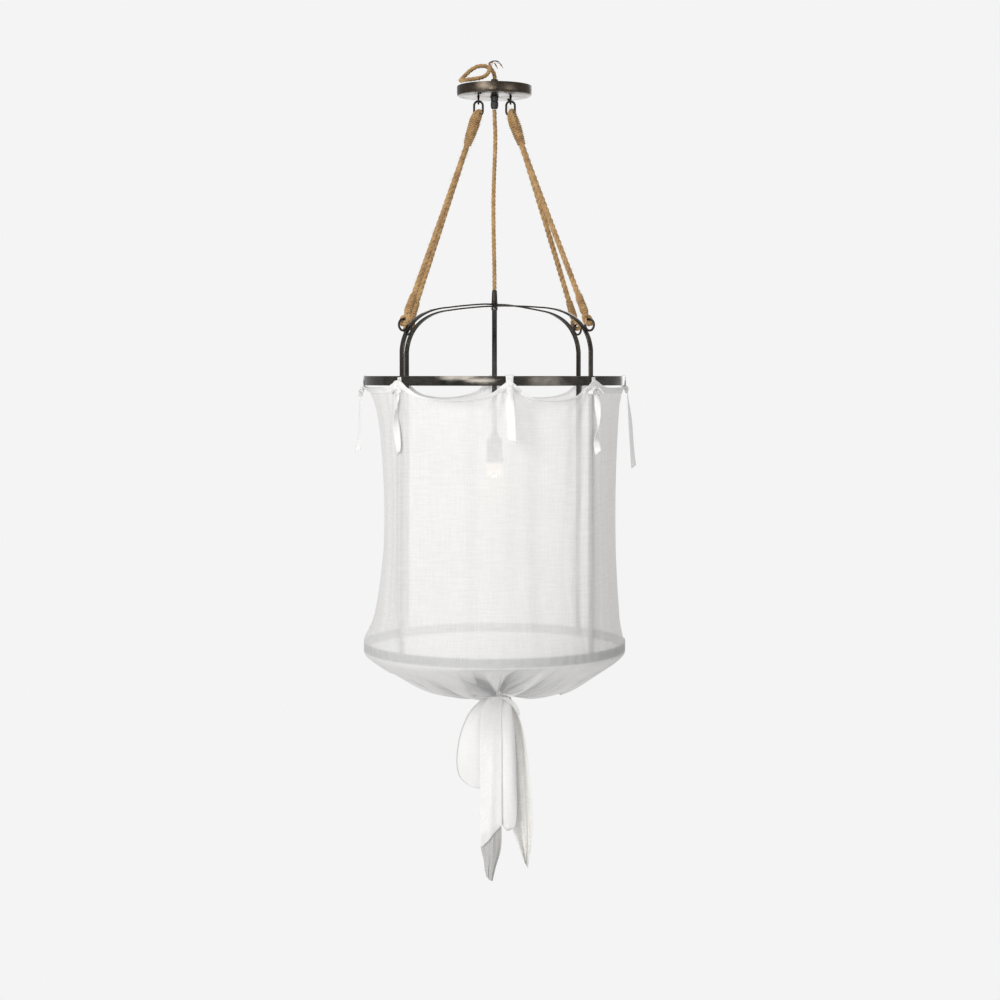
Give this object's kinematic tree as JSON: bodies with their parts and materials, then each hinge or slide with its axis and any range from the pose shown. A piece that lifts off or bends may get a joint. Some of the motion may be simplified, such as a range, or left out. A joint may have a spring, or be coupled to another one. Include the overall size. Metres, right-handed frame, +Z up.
{
  "type": "hanging lantern",
  "caption": "Pendant lantern: gathered gauze cover tied to a two-hoop steel frame with crossed straps, hung on four jute ropes from a round canopy.",
  "frame": {"origin": "centre of the canopy's rim plane, on the ceiling", "axes": "+Z up; +X to the right and +Y away from a viewer at the front, along whom the two link rings lie left and right"},
  "size_m": [0.5032, 0.4898, 1.5142],
  "materials": {
    "canopy_bronze": "dark bronze, satin, worn at the edges",
    "frame_steel": "blackened steel with warm brushed highlights",
    "dark_steel": "black oxide, satin",
    "brass": "satin brass",
    "jute": "twisted natural jute, hairy",
    "cotton_gauze": "sheer open-weave white cotton",
    "black_plastic": "satin moulded",
    "white_plastic": "satin",
    "ceramic": "glazed",
    "lamp_glass": "frosted warm white"
  },
  "bodies": {
    "canopy": {"canopy_dish": "canopy_bronze", "mounting_crossbar": "dark_steel", "canopy_screw_1": "dark_steel", "canopy_screw_2": "dark_steel", "eyebolt_left": "dark_steel", "eyebolt_nut_left": "dark_steel", "eyebolt_right": "dark_steel", "eyebolt_nut_right": "dark_steel", "cord_grip_body": "canopy_bronze", "cord_grip_cap": "brass", "surplus_cord": "jute", "cord_sleeve": "black_plastic", "live_wire": "black_plastic", "neutral_wire": "white_plastic", "earth_wire": "brass"},
    "hanging_links": {"link_ring_left": "dark_steel", "link_ring_right": "dark_steel"},
    "left_ropes": {"rope_collar_left": "jute", "rope_front_left": "jute", "rope_back_left": "jute", "rope_splice_front_left": "jute", "rope_splice_back_left": "jute"},
    "right_ropes": {"rope_collar_right": "jute", "rope_front_right": "jute", "rope_back_right": "jute", "rope_splice_front_right": "jute", "rope_splice_back_right": "jute"},
    "power_cord": {"hanging_cord": "jute"},
    "lantern": {"strap_front_left_to_back_right": "frame_steel", "strap_front_right_to_back_left": "frame_steel", "top_ring": "frame_steel", "bottom_ring": "frame_steel", "shoulder_eye_front_left": "dark_steel", "shoulder_eye_front_right": "dark_steel", "shoulder_eye_back_left": "dark_steel", "shoulder_eye_back_right": "dark_steel", "hub_washer": "frame_steel", "cord_ferrule": "frame_steel", "centre_post": "frame_steel", "inner_flex": "white_plastic", "lampholder_cap": "black_plastic", "lampholder_body": "black_plastic", "contact_block": "ceramic", "lampholder_shade_ring": "black_plastic", "shade_cover": "cotton_gauze", "tie_ribbon_right": "cotton_gauze", "tie_ribbon_back_right": "cotton_gauze", "tie_ribbon_back": "cotton_gauze", "tie_ribbon_back_left": "cotton_gauze", "tie_ribbon_left": "cotton_gauze", "tie_ribbon_front_left": "cotton_gauze", "tie_ribbon_front": "cotton_gauze", "tie_ribbon_front_right": "cotton_gauze", "cloth_knot": "cotton_gauze", "front_tail": "cotton_gauze", "bow_loop": "cotton_gauze", "bow_loop_second": "cotton_gauze", "back_tail": "cotton_gauze"},
    "bulb": {"bulb_screw_cap": "brass", "bulb_glass": "lamp_glass"}
  },
  "joints": [
    {"name": "swing_front_back", "type": "hinge", "parent": "canopy", "child": "hanging_links", "pos_m": [0, 0, -0.027], "axis": [1, 0, 0], "range_deg": [-15, 15]},
    {"name": "swing_side", "type": "hinge", "parent": "hanging_links", "child": "lantern", "pos_m": [0, 0, 0.04169], "axis": [0, 1, 0], "range_deg": [-8, 8]},
    {"name": "left_rope_swing", "type": "hinge", "parent": "hanging_links", "child": "left_ropes", "pos_m": [-0.0295, 0, -0.0455], "axis": [0, 1, 0], "range_deg": [-10.2, 10.2]},
    {"name": "right_rope_swing", "type": "hinge", "parent": "hanging_links", "child": "right_ropes", "pos_m": [0.0295, 0, -0.0455], "axis": [0, 1, 0], "range_deg": [-10.2, 10.2]},
    {"name": "cord_swing", "type": "hinge", "parent": "hanging_links", "child": "power_cord", "pos_m": [0, 0, -0.0419], "axis": [0, 1, 0], "range_deg": [-10.2, 10.2]},
    {"name": "bulb_unscrew", "type": "slide", "parent": "lantern", "child": "bulb", "axis": [0, 0, -1], "range_m": [0, 0.03]}
  ],
  "couplings": [
    {"joint": "left_rope_swing", "follows": "swing_side", "ratio": 1.2248},
    {"joint": "right_rope_swing", "follows": "swing_side", "ratio": 1.2248},
    {"joint": "cord_swing", "follows": "swing_side", "ratio": 1.2515}
  ]
}
